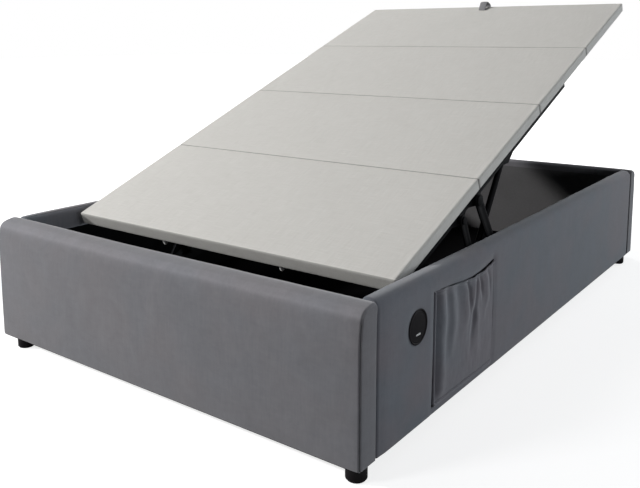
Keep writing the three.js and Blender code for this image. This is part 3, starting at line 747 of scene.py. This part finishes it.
def panel(name, node, core, facing):
    """facing is -1 for the head panel's outer face and 1 for the foot panel's."""
    round_end, sewn_end = 0.014, 0.007
    corner = sewn_end * (1 - math.sqrt(0.5))
    seams = ((0.0, round_end + 0.004), (corner, corner))

    def amount(point, normal, low, high):
        free = freedom(point, low, high, 0)
        crown = PANEL_CROWN * free * (max(0.0, normal[1] * facing) + 0.5 * max(0.0, normal[2]))
        drawn_in = WALL_TRIM + PANEL_LEFT_PULL * max(0.0, -normal[0])
        return crown + free * wear(point[0], point[2], point[1]) - drawn_in

    radii = wall_radii(PANEL_OUTER_RADIUS, facing)
    made = upholster(
        name, node, core, 0, radii, (round_end, sewn_end), seams, PANEL_SWELL, amount, VELVET)
    shape_top(made, facing)
    hem(made, 0, facing, PANEL_FACE, PANEL_END - MM)
    line_inside(made, 1, -facing, WALL_TOP - 0.034, GREY_LINING)
    finish_wall(made, node)


# Pocket's and port's places in the right rail
def pocket_room_top(share):
    """The recess's height at a share of its width: it sags a little."""
    return POCKET_HEIGHT - 0.016 * math.sin(math.pi * share ** 1.5)


def pocket_cloth_top(share):
    """The hem's height there, a little under the recess's."""
    return pocket_room_top(share) - 0.0032 - 0.003 * share * share


def pocket_cutter():
    """The prism that the pocket's recess takes out of the rail."""
    count = 60
    outline = [(POCKET_LOW, POCKET_BASE), (POCKET_LOW + POCKET_WIDTH, POCKET_BASE)]
    for i in range(count, -1, -1):
        outline.append((POCKET_LOW + POCKET_WIDTH * i / count, POCKET_BASE + pocket_room_top(i / count)))
    return prism("pocket_cutter", outline, RAIL_FACE - POCKET_RECESS, RAIL_FACE + 0.02, SHADED_RAIL_VELVET)


def port_cutter():
    depth, radius, length = 0.0183, 0.0403, 0.04
    place = Matrix.Translation(PORT - Vector((depth, 0, 0))) @ Matrix.Rotation(math.pi / 2, 4, "Y")
    profile = [(0.0, 0.0), (radius, 0.0), (radius, length), (0.0, length)]
    return turned("port_cutter", profile, LINING_AND_PAINTED_SHADE, 96, place)


def face_dips(y, z):
    """How far the rail's face is drawn in: round the pocket, at its slack mouth and round the port."""
    share = (y - POCKET_LOW) / POCKET_WIDTH
    over = z - POCKET_BASE - pocket_room_top(min(1.0, max(0.0, share)))
    past_side = max(POCKET_LOW - y, y - POCKET_LOW - POCKET_WIDTH, 0.0)
    edge = math.hypot(past_side, max(POCKET_BASE - z, over, 0.0))
    mouth = bell(over, 0.013) * ease(share, 0.0, 0.3) * (1 - ease(share, 0.97, 1.03))
    ring = abs(math.hypot(y - PORT[1], z - PORT[2]) - PORT_RADIUS)
    return 0.002 * bell(edge, 0.009) + 0.0035 * mouth + 0.0016 * bell(ring, 0.009)


def rail(name, node, core, side):
    """side is -1 for the left rail and 1 for the right one, which takes the pocket and the port."""

    def amount(point, normal, low, high):
        free = freedom(point, low, high, 1)
        outer_face = max(0.0, normal[0] * side)
        value = RAIL_CROWN * free * (outer_face + 0.5 * max(0.0, normal[2]))
        value += free * wear(point[1], point[2], point[0]) - WALL_TRIM
        value -= RAIL_HEAD_PULL * bell(point[1] - low[1], 0.026) * outer_face
        if side > 0 and normal[0] > 0.5:
            value -= face_dips(point[1], point[2])
        return value

    radii = wall_radii(RAIL_OUTER_RADIUS, side)
    # The rails take the darker velvet, as painted shade.
    made = upholster(
        name, node, core, 1, radii, (0.009, 0.006), (None, None), RAIL_SWELL, amount, SHADED_RAIL_VELVET)
    hem(made, 1, side, RAIL_FACE)
    if side < 0:
        # The left rail's inward faces take the paler velvet: painted light.
        line_inside(made, 0, 1, WALL_TOP, PAINTED_LIGHT_INNER_VELVET)
    line_inside(made, 0, -side, WALL_TOP - 0.064, LINING_AND_PAINTED_SHADE)
    if side > 0:
        cut(made, pocket_cutter())
        cut(made, port_cutter())
        crisp(made, 50)
    finish_wall(made, node)


# Storage pocket: a gathered cloth between welts. Each crease is its height in millimetres, its width before
# and after it along the rail, its reach down from the hem, and its (share down, share along) points. A
# height over 0 is a ridge and one under 0 a valley.
CREASES = [
    (-13.0, 0.026, 0.046, 1.2, ((0, 0.03), (0.5, 0.027), (1, 0.027))),
    (4.2, 0.05, 0.045, 1.2, ((0, 0.132), (0.3, 0.148), (0.55, 0.14), (1, 0.118))),
    (-2.6, 0.04, 0.04, 0.85, ((0, 0.2), (0.3, 0.228), (0.6, 0.206))),
    (2.6, 0.04, 0.045, 0.85, ((0, 0.258), (0.15, 0.293), (0.35, 0.312), (0.55, 0.28), (0.75, 0.235))),
    (-2.6, 0.045, 0.045, 0.6, ((0, 0.37), (0.3, 0.41), (0.5, 0.39))),
    (2.6, 0.05, 0.03, 0.65, ((0, 0.45), (0.12, 0.505), (0.32, 0.535), (0.55, 0.495))),
    (-5.0, 0.018, 0.024, 0.42, ((0, 0.53), (0.15, 0.575), (0.28, 0.588))),
    (2.4, 0.035, 0.04, 0.95, ((0, 0.64), (0.25, 0.66), (0.5, 0.71), (0.8, 0.7))),
    (-5.0, 0.028, 0.022, 0.85, ((0, 0.7), (0.15, 0.69), (0.4, 0.65), (0.65, 0.61), (0.75, 0.59))),
    (-4.2, 0.018, 0.02, 0.32, ((0, 0.74), (0.15, 0.782), (0.25, 0.795))),
    (2.6, 0.036, 0.036, 0.55, ((0, 0.815), (0.12, 0.867), (0.3, 0.88), (0.45, 0.84))),
    (-2.6, 0.022, 0.02, 0.4, ((0, 0.885), (0.18, 0.93), (0.3, 0.94))),
]
WELT = 0.004
WELT_SINK = 0.0044
POCKET_LEFT = POCKET_LOW + 0.0102
POCKET_RIGHT = POCKET_LOW + POCKET_WIDTH - MM
POCKET_FOOT = POCKET_BASE + 0.0047


def on_path(path, down):
    """Where a crease lies along the pocket, at a share of the way down."""
    for (t0, s0), (t1, s1) in zip(path, path[1:]):
        if down <= t1:
            return s0 + (s1 - s0) * ease(down, t0, t1)
    return path[-1][1]


def pocket_level(share):
    """The cloth is sunk at its left edge and flush at its right one."""
    return RAIL_FACE - 0.005 + 0.0038 * ease(share, 0.05, 1.0)


def pocket_relief(share, rise):
    """How far the cloth stands out, from its creases and its slack, and less towards its sewn edges."""
    down = 1 - rise
    total = 0.0
    for height, before, after, reach, path in CREASES:
        fade = 1 - ease(down, reach * 0.45, reach) if reach < 1.1 else 1.0
        if fade <= 0:
            continue
        away = share - on_path(path, down)
        width = (before if away < 0 else after) * (1 + 0.5 * down)
        total += height * MM * fade * bell(away, width)
    loose = 0.0009 * noise.noise(Vector((share * 8, rise * 4, 3.0)))
    loose += 0.0004 * noise.noise(Vector((share * 26, rise * 9, 8.0)))
    sewn = min(1.0, share * 30, (1 - share) * 16, rise * 11) * (0.5 + 0.5 * ease(down, 0.0, 0.09))
    return sewn * max(-0.0115, total + loose + 0.0012 * math.sin(math.pi * share))


def pocket():
    columns, rows, thick = 176, 92, 0.0016
    points = []
    for i in range(columns + 1):
        share = i / columns
        y = POCKET_LEFT + share * (POCKET_RIGHT - POCKET_LEFT)
        height = POCKET_BASE + pocket_cloth_top((y - POCKET_LOW) / POCKET_WIDTH) - POCKET_FOOT
        front, back = [], []
        for j in range(rows + 1):
            rise = j / rows
            below = height * (1 - rise)
            roll = 0.0014 * bell(below - 0.003, 0.0028) - 0.0012 * bell(below - 0.0085, 0.0022)
            x, z = pocket_level(share) + pocket_relief(share, rise), POCKET_FOOT + height * rise
            front.append((x + roll, y, z))
            back.append((x - thick, y, z))
        points += front + back[::-1]
    size = 2 * (rows + 1)
    faces = ring_faces(columns + 1, size)
    for base in (0, columns * size):
        faces += [(base + j, base + j + 1, base + size - 2 - j, base + size - 1 - j) for j in range(rows)]
    made = outward(mesh_object("gathered_pocket", points, faces, POCKET_VELVET))
    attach(made, "frame")
    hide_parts("storage_pocket")
    pocket_welt()


def straight(start, end, count=50):
    """Even points from start, left out, to end."""
    return [tuple(a + (b - a) * i / count for a, b in zip(start, end)) for i in range(1, count + 1)]


def quarter(centre, radius, turn, count=8):
    """Points along a quarter circle from an angle, left out."""
    angles = [turn + math.pi / 2 * i / count for i in range(1, count + 1)]
    return [(centre[0] + radius * math.cos(angle), centre[1] + radius * math.sin(angle)) for angle in angles]


def pocket_welt():
    """Piping sewn round the pocket's two sides and base."""
    left, right, base, corner = POCKET_LEFT, POCKET_RIGHT, POCKET_FOOT, 0.009
    tops = [POCKET_BASE + pocket_cloth_top((y - POCKET_LOW) / POCKET_WIDTH) - MM for y in (left, right)]
    path = [(left, tops[0])]
    path += straight(path[0], (left, base + corner))
    path += quarter((left + corner, base + corner), corner, math.pi)
    path += straight((left + corner, base), (right - corner, base))
    path += quarter((right - corner, base + corner), corner, 1.5 * math.pi)
    path += straight((right, base + corner), (right, tops[1]))
    path = [
        (pocket_level((y - left) / (right - left)) + MM - WELT_SINK * ease(y, right - 0.02, right), y, z)
        for y, z in path
    ]
    made = tube("pocket_welt", path, WELT, POCKET_VELVET, 16)
    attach(made, "frame")
    return made


# Charging port
SLOT_HALF = (0.0105, 0.003)
SOCKET_SLIM = 0.0012
SLOT_DROP = 0.018


def port_ring(place):
    """The bezel: a tube in the rail with a low rounded lip over the velvet."""
    profile = [
        (0.037, -0.0175), (0.0398, -0.0175), (0.0398, 0.0002), (0.0416, 0.0002), (0.042, 0.0006),
        (0.0418, 0.0011), (0.041, 0.0015), (0.0395, 0.0016), (0.038, 0.0014), (0.0373, 0.0009),
        (0.037, 0.0002), (0.037, -0.0175),
    ]
    ring = crisp(turned("port_ring", profile, PORT_PLASTIC, 96, place), 50)
    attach(ring, "frame")
    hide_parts("port_bezel")


def port_disc(place):
    """The face, with a soft edge, a shallow groove and a well for the socket."""
    profile = [
        (0.0, -0.006), (0.0366, -0.006), (0.0366, -0.0002), (0.0361, 0.0003), (0.035, 0.0005),
        (0.0335, 0.0004), (0.0328, 0.0001), (0.0321, 0.0001), (0.0314, 0.0004), (0.03, 0.0005), (0.0, 0.0005),
    ]
    disc = turned("port_disc", profile, PORT_PLASTIC, 96, place)
    cut(disc, soft_slot("port_well", 0.0002 - SOCKET_SLIM, -0.004, 0.01, LINING_AND_PAINTED_SHADE))
    crisp(disc, 50)
    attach(disc, "frame")
    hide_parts("port_face")


def port_plug_in():
    """The pale socket, with its own mouth."""
    socket = soft_slot("port_plug_in", -SOCKET_SLIM, -0.0035, 0.0009, WHITE_PLASTIC)
    cut(socket, soft_slot("port_mouth", -0.0026, 0.0003, 0.01, PORT_PLASTIC))
    crisp(socket, 50)
    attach(socket, "frame")
    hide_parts("port_socket")


def port():
    place = Matrix.Translation(PORT) @ Matrix.Rotation(math.pi / 2, 4, "Y")
    port_ring(place)
    port_disc(place)
    port_plug_in()


def soft_slot(name, grow, back, front, material):
    """A slot with round ends, from back to front of the rail's face."""
    half, radius = SLOT_HALF[0] + grow, SLOT_HALF[1] + grow
    outline = []
    for end, turn in ((1, -math.pi / 2), (-1, math.pi / 2)):
        for k in range(13):
            angle = turn + math.pi * k / 12
            along = end * (half - radius) + radius * math.cos(angle)
            outline.append((PORT[1] + along, PORT[2] - SLOT_DROP + radius * math.sin(angle)))
    return prism(name, outline, PORT[0] + back, PORT[0] + front, material)


# Deck
BOARD_CELL = 0.02
BOARD_EDGE = 0.0055
BOARD_SEAM_EDGE = 0.0026
BOARD_END = 0.006
BOARD_SWELL = 0.0011
BOARD_TRIM = 0.0006
CLOTH_DROP = 0.0055


def board(index):
    pitch = (DECK_LENGTH + BOARD_SEAM) / BOARD_COUNT
    start = index * pitch
    end = start + pitch - BOARD_SEAM
    low, high = (-DECK_HALF, start, -DECK_THICK), (DECK_HALF, end, 0.0)
    first, last = index == 0, index == BOARD_COUNT - 1
    near, far = (BOARD_EDGE if outer else BOARD_SEAM_EDGE for outer in (first, last))
    radii = (near, far, far, near)
    points, faces = soft_bar(low, high, 0, radii, (BOARD_END, BOARD_END), BOARD_CELL, 3, 3)
    made = outward(mesh_object(f"wrapped_board_{index + 1}", points, faces, LINEN, DECK_PLACE))

    def insets(point):
        return DECK_HALF - abs(point[0]), min(point[1] - start, end - point[1])

    def amount(point, normal):
        in_x, in_y = insets(point)
        ripple = noise.noise(Vector((point[0] * 4, point[1] * 4 + index * 9, point[2] * 3)))
        tug = noise.noise(Vector((point[0] * 16, index * 3.0, 1.0))) * bell(in_y, 0.03)
        fold = 0.0008 * bell(in_x - 0.02, 0.006) * bell(in_y, 0.05)
        return abs(normal[2]) * (0.0004 * ripple - 0.0004 * max(0.0, tug) - fold) - BOARD_TRIM

    # The first board's near edge and the walls beside the seams take the darkest linen: painted shade.
    def shaded(normal, center):
        seam = (not first and center[1] - start < 0.004) or (not last and end - center[1] < 0.004)
        return (first and normal[1] < -0.5) or (seam and abs(normal[1]) > 0.3)

    inflate(made, lambda point: 1 - ease(min(insets(point)), 0.004, 0.03), BOARD_SWELL, 2.0, 10)
    smoother(made)
    push(made, amount)
    if first:
        for vertex in made.data.vertices:
            rim = ease(-vertex.co[2], 0.01, 0.032) * (1 - ease(vertex.co[1] - start, 0.012, 0.045))
            vertex.co[2] -= CLOTH_DROP * rim
    # Faces that don't face up take the darker linen: painted shade.
    paint_faces(made, LINEN_PAINTED_SIDE_SHADE, lambda normal, center: normal[2] < 0.5)
    paint_faces(made, LINEN_PAINTED_EDGE_SHADE, shaded)
    paint_faces(made, LINING_AND_PAINTED_SHADE, lambda normal, center: normal[2] < -0.9 and min(insets(center)) > 0.03)
    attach(made, "deck")
    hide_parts(f"deck_board_{index + 1}")


def strap_line(count):
    """The strap's middle line in the deck's own Y and Z, from its sewn foot to its tail."""
    knots = [
        Vector((DECK_LENGTH - 0.052, 0.0014)), Vector((DECK_LENGTH - 0.045, 0.0085)),
        Vector((DECK_LENGTH - 0.016, 0.0262)), Vector((DECK_LENGTH + 0.0128, 0.0)),
        Vector((DECK_LENGTH + 0.0018, -0.014)),
    ]
    knots = [2 * knots[0] - knots[1], *knots, 2 * knots[-1] - knots[-2]]
    points = []
    for i in range(1, len(knots) - 2):
        p0, p1, p2, p3 = knots[i - 1:i + 3]
        for k in range(count):
            t = k / count
            points.append(0.5 * (
                2 * p1 + (p2 - p0) * t + (2 * p0 - 5 * p1 + 4 * p2 - p3) * t ** 2
                + (3 * p1 - p0 - 3 * p2 + p3) * t ** 3
            ))
    points.append(knots[-2])
    return points


def strap():
    line = strap_line(12)
    half, thick, columns = 0.0148, 0.0012, 14
    across = [-half + 2 * half * k / columns for k in range(columns + 1)]
    section = [(x, 1) for x in across] + [(x, -1) for x in across[::-1]]
    points = []
    for i, point in enumerate(line):
        ahead = line[min(i + 1, len(line) - 1)] - line[max(i - 1, 0)]
        ahead.normalize()
        outer = Vector((-ahead.y, ahead.x))
        for x, side in section:
            edge = 1 - 0.35 * bell(abs(x) - half, 0.0012)
            cup = 0.0007 * (x / half) ** 2
            at = point + outer * (side * thick * edge - cup)
            points.append((x, at.x, at.y))
    faces = ring_faces(len(line), len(section)) + end_faces(len(line), len(section))
    made = crisp(outward(mesh_object("pull_loop", points, faces, WEBBING, DECK_PLACE)))
    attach(made, "deck")
    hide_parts("pull_strap")


# Turned hardware
def feet():
    names = [f"{end}_{side}_foot" for end in ("head", "foot") for side in ("left", "right")] + ["centre_foot"]
    for node in names:
        low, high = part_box(node)
        centre = Matrix.Translation(((low[0] + high[0]) / 2, (low[1] + high[1]) / 2, 0.0))
        radius, top = (high[0] - low[0]) / 2, high[2]
        profile = [
            (0.0, 0.0), (radius - 0.0042, 0.0), (radius - 0.0034, 0.0003), (radius - 0.0028, 0.0012),
            (radius - 0.0026, 0.0026), (radius - 0.0026, 0.0034), (radius - 0.0008, 0.0036),
            (radius - 0.0002, 0.0042), (radius, 0.0052), (radius, top - 0.0016),
            (radius - 0.0005, top - 0.0004), (radius - 0.0012, top), (0.0, top),
        ]
        made = crisp(turned(f"{node}_cap", profile, BLACK_PLASTIC, 72, centre), 50)
        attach(made, "frame")
        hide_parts(node)


# Carried-over solids
def dress(names, material, bevel=0.0006):
    """Gives CAD nodes their material, and small rounded edges where bevel isn't 0."""
    for name in names:
        made = nodes[name]
        made.data.materials.clear()
        made.data.materials.append(material)
        made.data.polygons.foreach_set("use_smooth", [True] * len(made.data.polygons))
        made.modifiers.new("weld", "WELD").merge_threshold = 1e-5
        if bevel:
            edge = made.modifiers.new("edge", "BEVEL")
            edge.width = bevel
            edge.segments = 2
            edge.limit_method = "ANGLE"
            edge.angle_limit = math.radians(50)
        crisp(made, 35)


def both(stem):
    return [f"left_{stem}", f"right_{stem}"]


def dress_all():
    plates = both("upper_arm") + both("base_plate") + both("head_link") + both("foot_link")
    brackets = [f"{end}_{side}_corner_bracket" for end in ("head", "foot") for side in ("left", "right")]
    dress(plates + brackets + [f"cross_tube_{i}" for i in (1, 2, 3)], BLACK_STEEL)
    dress(both("strut_cylinder"), STRUT_PAINT)
    dress(both("strut_rod"), ROD_STEEL)
    dress(both("locating_stud"), ZINC, 0.0003)
    dress(["head_panel_core", "foot_panel_core"] + both("rail_core"), DARK_TIMBER, 0.0)
    dress(both("deck_stringer") + ["centre_beam"] + both("floor_bearer"), DARK_TIMBER, 0.0012)
    dress([f"floor_board_{i}" for i in (1, 2, 3)] + both("ledge"), LINING_AND_PAINTED_SHADE)


# Floor, background and light
AMBIENT = 0.06
FLOOR_HALF = 30.0


def stage():
    """A grey floor that, to the camera, glows to white a little way from the bed."""
    sides = (-FLOOR_HALF, FLOOR_HALF)
    points = [(x, y, 0.0) for x in sides for y in sides]
    paint = Nodes("floor", (0.46, 0.46, 0.465), 0.9)
    shade = paint.noise(paint.coords(), 1.5, 2.0)
    paint.color(paint.blend(shade, (0.45, 0.45, 0.455), (0.47, 0.47, 0.475)))
    away = paint.add("VectorMath", {0: paint.coords((1, 1, 0))}, operation="LENGTH").outputs["Value"]
    far = paint.span(away, 1.3, 3.0, 0.76, 1.2)
    seen = paint.add("LightPath").outputs["Is Camera Ray"]
    glow = paint.add("Emission", {0: (1.0, 1.0, 1.0), 1: paint.math("MULTIPLY", seen, far)})
    mixed = paint.add("AddShader", {0: paint.shader.outputs[0], 1: glow.outputs[0]})
    paint.link(mixed.outputs[0], paint.out.inputs[0])
    floor = mesh_object("floor", points, [(0, 2, 3, 1)], paint.material)


def surroundings():
    """Faint bluish light all round, shown as plain white past the bed and in reflections."""
    world = bpy.data.worlds.new("world")
    bpy.context.scene.world = world
    sky = Tree(world)
    path = sky.add("LightPath").outputs
    seen = sky.math("MAXIMUM", path["Is Camera Ray"], path["Is Glossy Ray"])
    seen = sky.math("MAXIMUM", seen, path["Is Transmission Ray"])
    lighting = sky.add("Background", {0: (0.93, 0.96, 1.0), 1: AMBIENT})
    shown = sky.add("Background", {0: (1.0, 1.0, 1.0), 1: 1.0})
    mixed = sky.add("MixShader", {0: seen, 1: lighting.outputs[0], 2: shown.outputs[0]})
    sky.add("OutputWorld", {0: mixed.outputs[0]})


def lamp(name, place, target, size, power, color=(1, 1, 1)):
    data = bpy.data.lights.new(name, "AREA")
    data.shape = "RECTANGLE"
    data.size, data.size_y = size
    data.energy = power
    data.color = color
    made = bpy.data.objects.new(name, data)
    made.location = place
    aim = Vector(target) - Vector(place)
    made.rotation_euler = aim.to_track_quat("-Z", "Y").to_euler()
    bpy.context.scene.collection.objects.link(made)


def light():
    lamp("key", (-6.95, -5.2, 3.8), (0, 0, 0.3), (0.6, 0.6), 850, (1.0, 0.99, 0.975))
    lamp("front", (-1.6, -4.4, 2.6), (-0.1, -0.6, 0.35), (1.0, 1.0), 67)
    lamp("side", (4.8, -0.9, 1.0), (0.6, -0.1, 0.2), (1.0, 0.6), 31, (0.93, 0.965, 1.0))
    lamp("top", (-1.2, 2.2, 3.6), (0, 0.9, 1.0), (1.5, 1.5), 30)
    lamp("fill", (5.75, 9.5, 3.2), (0.6, 0.2, 0.3), (3.0, 2.2), 640, (0.9, 0.955, 1.0))


place_camera()
panel("head_panel", "head_panel_cover", "head_panel_core", -1)
panel("foot_panel", "foot_panel_cover", "foot_panel_core", 1)
rail("left_rail", "left_rail_cover", "left_rail_core", -1)
rail("right_rail", "right_rail_cover", "right_rail_core", 1)
pocket()
port()
for number in range(BOARD_COUNT):
    board(number)
strap()
feet()
dress_all()
stage()
surroundings()
light()
bpy.context.scene.view_settings.view_transform = "Standard"
